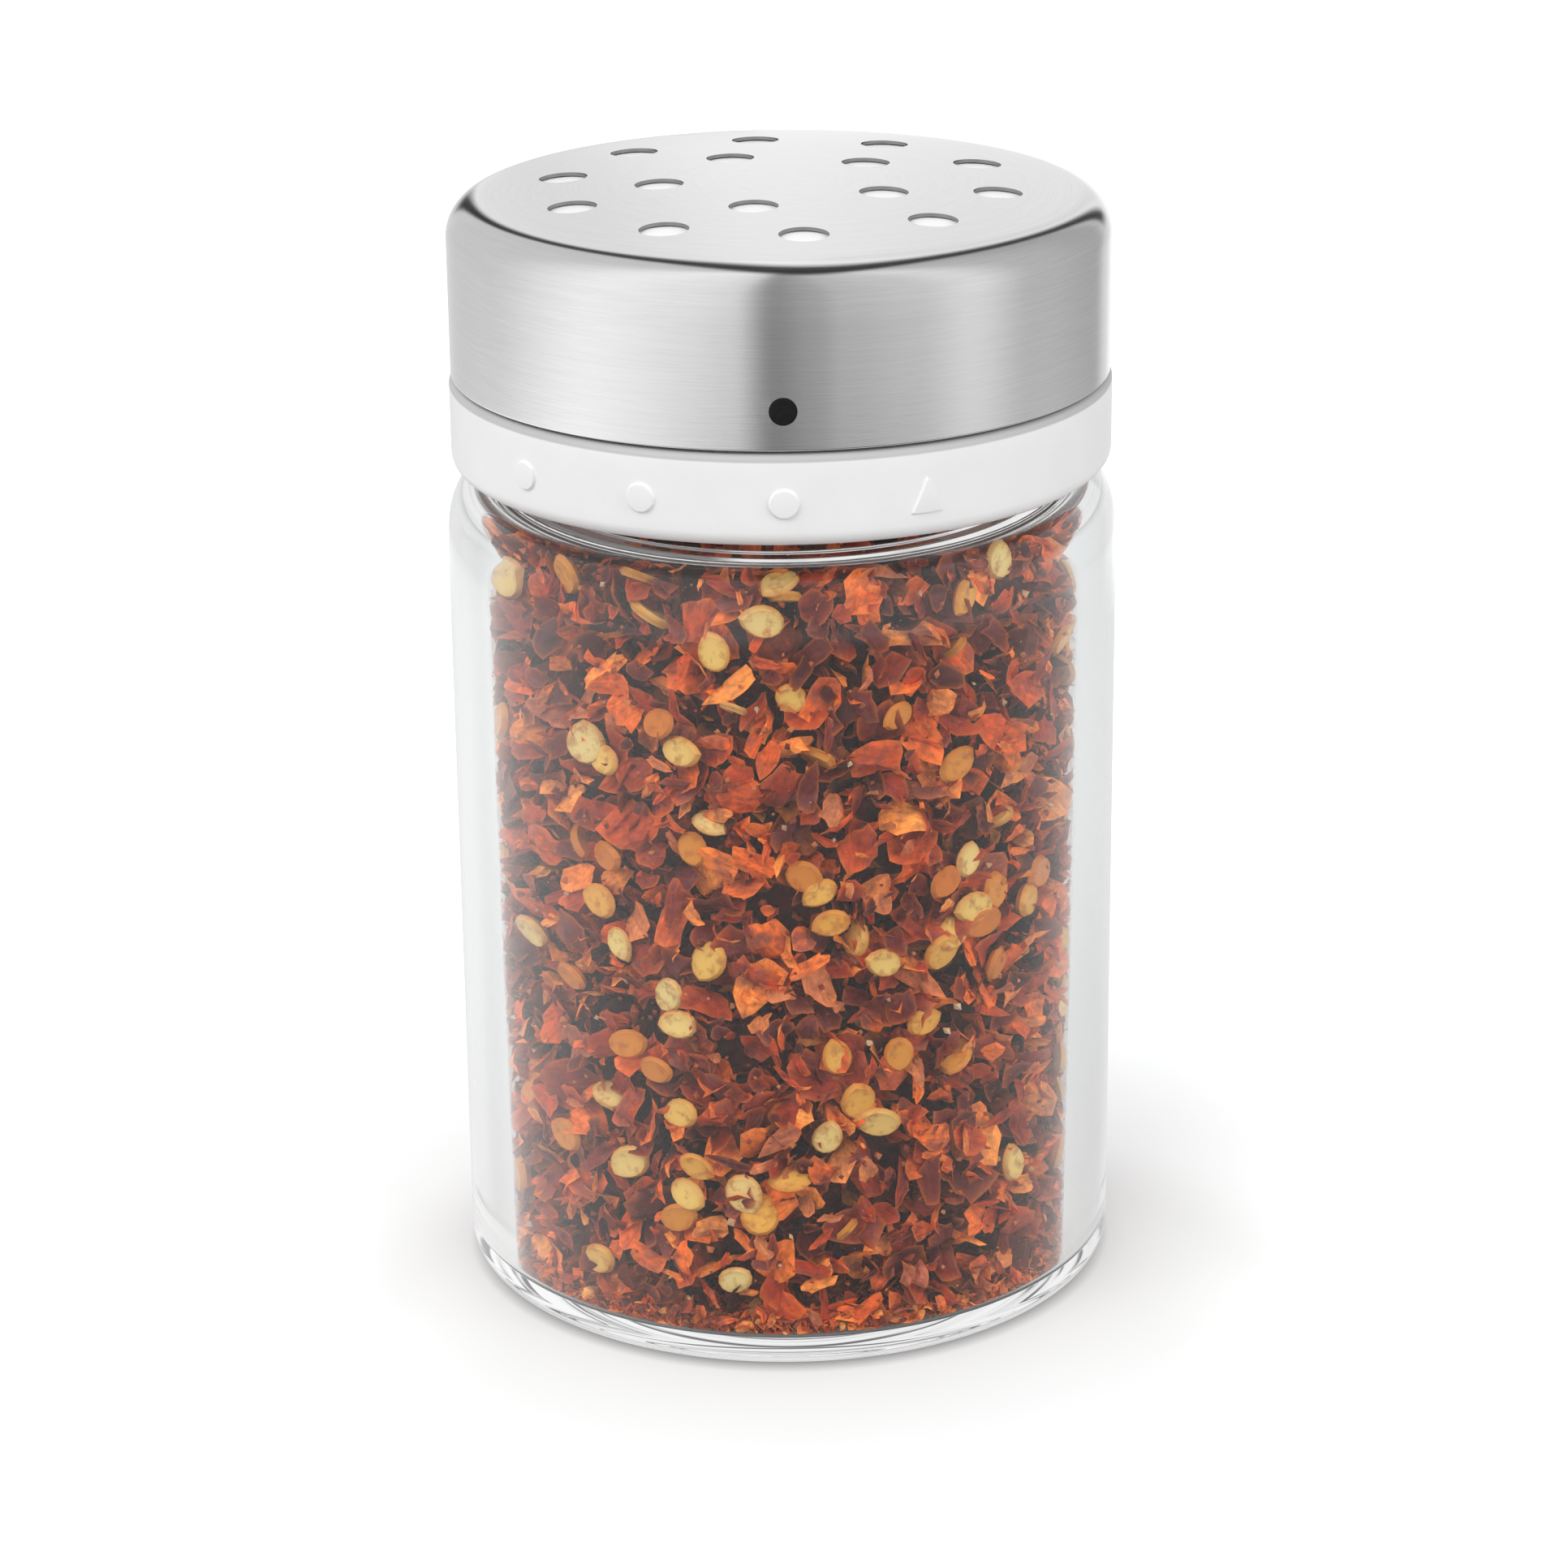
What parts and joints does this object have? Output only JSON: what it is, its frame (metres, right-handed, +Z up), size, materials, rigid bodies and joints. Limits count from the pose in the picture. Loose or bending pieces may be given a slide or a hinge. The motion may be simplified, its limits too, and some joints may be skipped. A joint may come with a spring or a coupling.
{
  "type": "powder shaker",
  "caption": "Clear glass shaker jar filled with chilli flakes, with a white screw collar and a holed brushed steel dial cap that turns to open or close the flow.",
  "frame": {"origin": "centre of the jar's base, on the surface that it stands on", "axes": "+Z up along the jar's axis, -Y towards the pointer dot and the dial's third mark, +X to the right seen from there"},
  "size_m": [0.058, 0.058, 0.0978],
  "materials": {
    "clear_glass": "gloss",
    "chilli": "matte",
    "seal_silicone": "matte",
    "white_plastic": "satin",
    "cap_steel": "satin",
    "black_plastic": "satin"
  },
  "bodies": {
    "jar": {"glass_jar": "clear_glass", "chilli_flakes": "chilli"},
    "seal": {"rim_seal": "seal_silicone"},
    "collar": {"screw_collar": "white_plastic", "sifter_disc": "white_plastic"},
    "cap": {"cap_liner": "white_plastic", "steel_cap": "cap_steel", "pointer_dot": "black_plastic"}
  },
  "joints": [
    {"name": "lid_rise", "type": "slide", "parent": "jar", "child": "seal", "axis": [0, 0, 1], "range_m": [0, 0.0064]},
    {"name": "collar_unscrew", "type": "hinge", "parent": "seal", "child": "collar", "pos_m": [0, 0, 0.0775], "axis": [0, 0, 1], "range_deg": [0, 540]},
    {"name": "cap_turn", "type": "hinge", "parent": "collar", "child": "cap", "pos_m": [0, 0, 0.088], "axis": [0, 0, 1], "range_deg": [-48, 24]}
  ],
  "couplings": [
    {"joint": "lid_rise", "follows": "collar_unscrew", "m_per_rad": 0.00066845}
  ]
}
